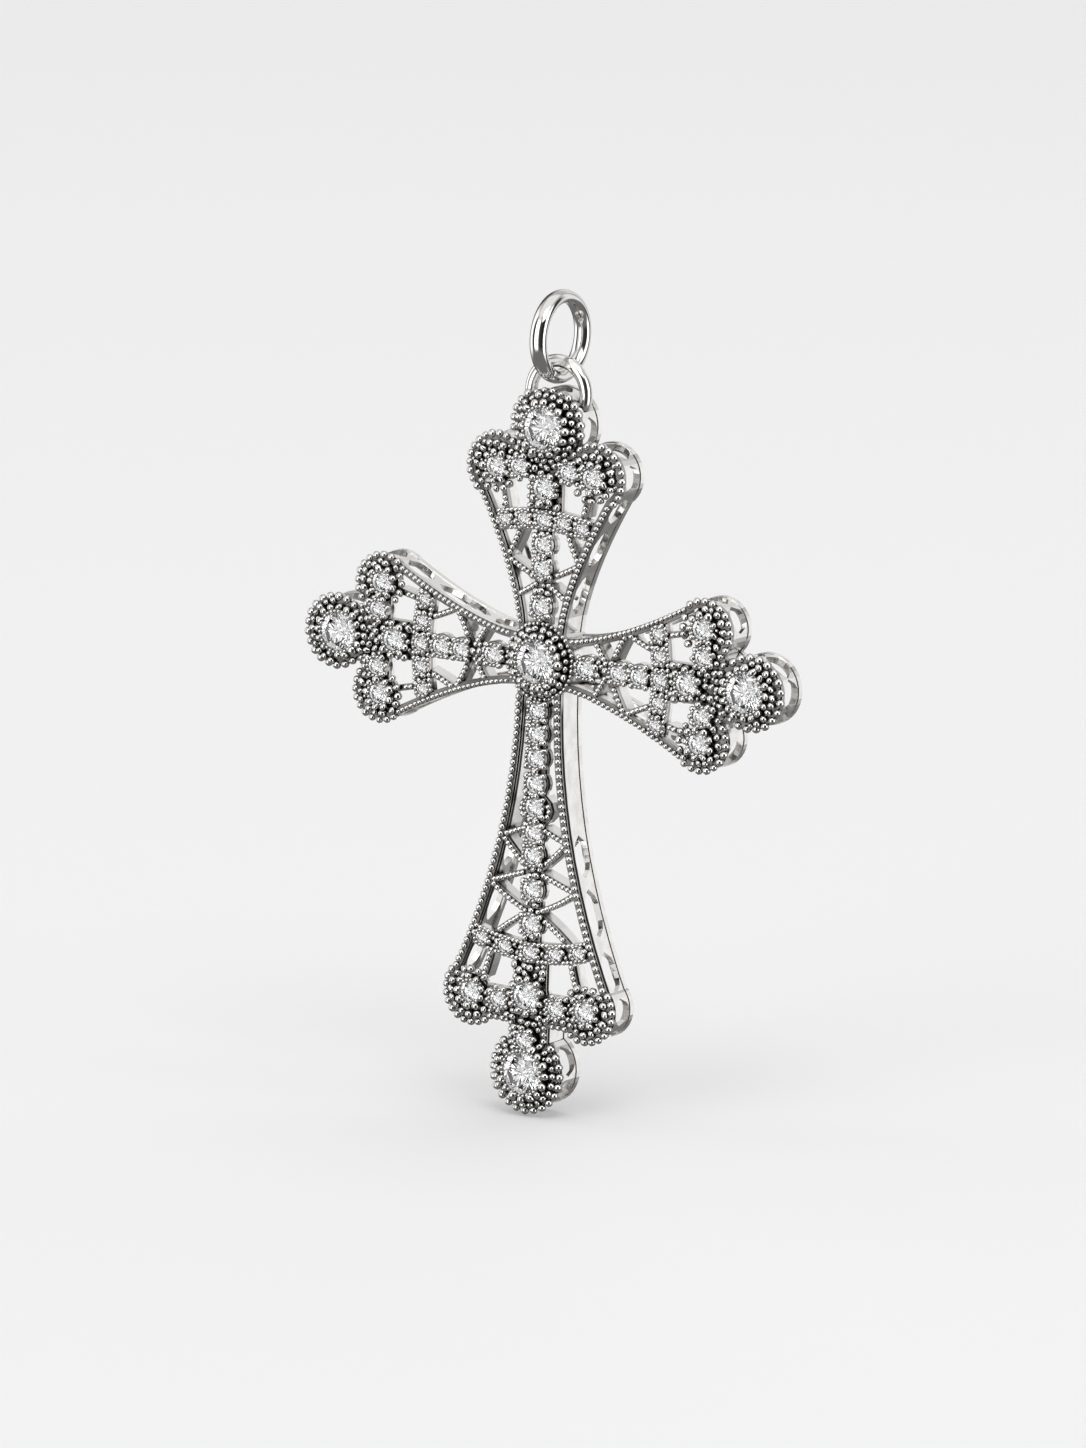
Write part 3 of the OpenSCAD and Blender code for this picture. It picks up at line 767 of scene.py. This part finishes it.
metals = {name: silver(name, **metal) for name, metal in METALS.items()}
gem = clear_stone()
for name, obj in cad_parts.items():
    if name == "cross_body":
        dress(obj, metals["cast_silver"])
    elif name == "jump_ring":
        dress(obj, metals["ring_silver"])
    else:
        dress(obj, gem)
for obj in pieces:
    coarse = obj.name in ("rim_beads", "stone_grains")
    dress(obj, metals["beaded_silver" if coarse else "fine_beaded_silver"])

# Floor, light and camera
CENTRE = Vector((0, -LOOP_Y, -HANG)) * MM
# Depth of the floor below the middle of the lowest tip's disc, in millimetres, and half its width in metres
FLOOR_BELOW = 3.05
FLOOR_HALF = 6.0
# The studio has pale walls with a few dark flags between them, so that polished metal shows light and dark.
# The stops are azimuths seen from above, from the back over the left (0.25), the front (0.5) and the right
# (0.75) to the back again, and the light there.
WALLS = [(0.0, 0.8), (0.07, 0.9), (0.13, 0.06), (0.19, 0.05), (0.24, 1.2), (0.32, 1.8), (0.345, 0.02),
         (0.375, 0.02), (0.39, 0.9), (0.425, 0.9), (0.44, 2.8), (0.5, 2.8), (0.53, 0.08), (0.6, 0.04),
         (0.655, 0.02), (0.69, 0.03), (0.72, 2.5), (0.79, 2.5), (0.82, 0.04), (0.87, 0.06), (0.9, 1.15),
         (0.925, 1.0), (0.94, 0.45), (0.955, 0.5), (0.975, 1.1), (1.0, 0.8)]
CEILING, GROUND = 0.6, 0.2
# The heights of a direction over which the walls turn into the ceiling and rise from the ground
CEILING_FROM, CEILING_TO = 0.5, 0.75
GROUND_TO, WALLS_FROM = -0.55, -0.3
# Softboxes: name, azimuth, elevation, distance, width and height in metres, and watts
SOFTBOXES = [("key", 45, 52, 2.4, 1.4, 1.4, 13), ("top", 20, 84, 2.4, 3.2, 3.2, 16)]
# The camera's place from the cross's centre in millimetres, its turn, tilt and roll, its sensor in
# millimetres, and its focal length and the picture's height in pixels
CAMERA_AT = Vector((257.25, -394.07, 88.44))
AZIMUTH, ELEVATION, ROLL = 33.10, 11.14, 1.87
SENSOR = 36
FOCAL_PX, PICTURE_H = 7231, 1448
NEAREST, FARTHEST = 0.01, 50


def lay_floor():
    """The floor, which polished metal doesn't reflect: it shows the studio's ground instead."""
    z = (-HANG - max(arm.reach for arm in ARMS) - FLOOR_BELOW) * MM
    corners = [(-1, -1), (1, -1), (1, 1), (-1, 1)]
    mesh = bpy.data.meshes.new("floor")
    mesh.from_pydata([(x * FLOOR_HALF, y * FLOOR_HALF, z) for x, y in corners], [], [(0, 1, 2, 3)])
    floor = bpy.data.objects.new("floor", mesh)
    bpy.context.scene.collection.objects.link(floor)
    dress(floor, pale_floor())
    floor.visible_glossy = False


def light_studio():
    """Lights the world by direction: the ground, the walls round it and the ceiling."""
    world = bpy.data.worlds.new("studio")
    bpy.context.scene.world = world
    world.use_nodes = True
    tree = world.node_tree
    coord = add_node(tree, "TexCoord", {})
    split = add_node(tree, "SeparateXYZ", {"Vector": coord.outputs["Generated"]}).outputs
    turn = maths(tree, "ARCTAN2", split["X"], maths(tree, "MULTIPLY", split["Y"], -1.0))
    share = maths(tree, "ADD", maths(tree, "MULTIPLY", turn, 0.5 / math.pi), 0.5)
    walls = ramp(tree, share, [(at, (v, v, v)) for at, v in WALLS])
    upper = ranged(tree, split["Z"], CEILING_FROM, CEILING_TO, walls, CEILING)
    light = ranged(tree, split["Z"], GROUND_TO, WALLS_FROM, GROUND, upper)
    feed(tree, tree.nodes["Background"].inputs, {"Color": light})


def direction(azimuth, elevation):
    """From the cross towards an azimuth, 0 in front and 90 to the right, and an elevation."""
    a, e = math.radians(azimuth), math.radians(elevation)
    return Vector((math.sin(a) * math.cos(e), -math.cos(a) * math.cos(e), math.sin(e)))


def softbox(name, azimuth, elevation, distance, width, height, watts):
    """A rectangular lamp that faces the cross."""
    lamp = bpy.data.lights.new(name, "AREA")
    lamp.shape = "RECTANGLE"
    lamp.size, lamp.size_y, lamp.energy = width, height, watts
    obj = bpy.data.objects.new(name, lamp)
    away = direction(azimuth, elevation)
    obj.location = CENTRE + away * distance
    obj.rotation_mode = "QUATERNION"
    obj.rotation_quaternion = away.to_track_quat("Z", "Y")
    bpy.context.scene.collection.objects.link(obj)


def set_camera():
    """The camera at the photograph's viewing angle."""
    camera = bpy.data.objects.new("camera", bpy.data.cameras.new("camera"))
    bpy.context.scene.collection.objects.link(camera)
    camera.data.sensor_width = SENSOR
    camera.data.lens = FOCAL_PX / PICTURE_H * SENSOR
    camera.data.clip_start, camera.data.clip_end = NEAREST, FARTHEST
    camera.location = CENTRE + CAMERA_AT * MM
    forward = -direction(AZIMUTH, ELEVATION)
    roll = Quaternion((0, 0, 1), math.radians(ROLL))
    camera.rotation_mode = "QUATERNION"
    camera.rotation_quaternion = forward.to_track_quat("-Z", "Y") @ roll
    bpy.context.scene.camera = camera


lay_floor()
bpy.context.scene.view_settings.view_transform = "Standard"
light_studio()
for box in SOFTBOXES:
    softbox(*box)
set_camera()
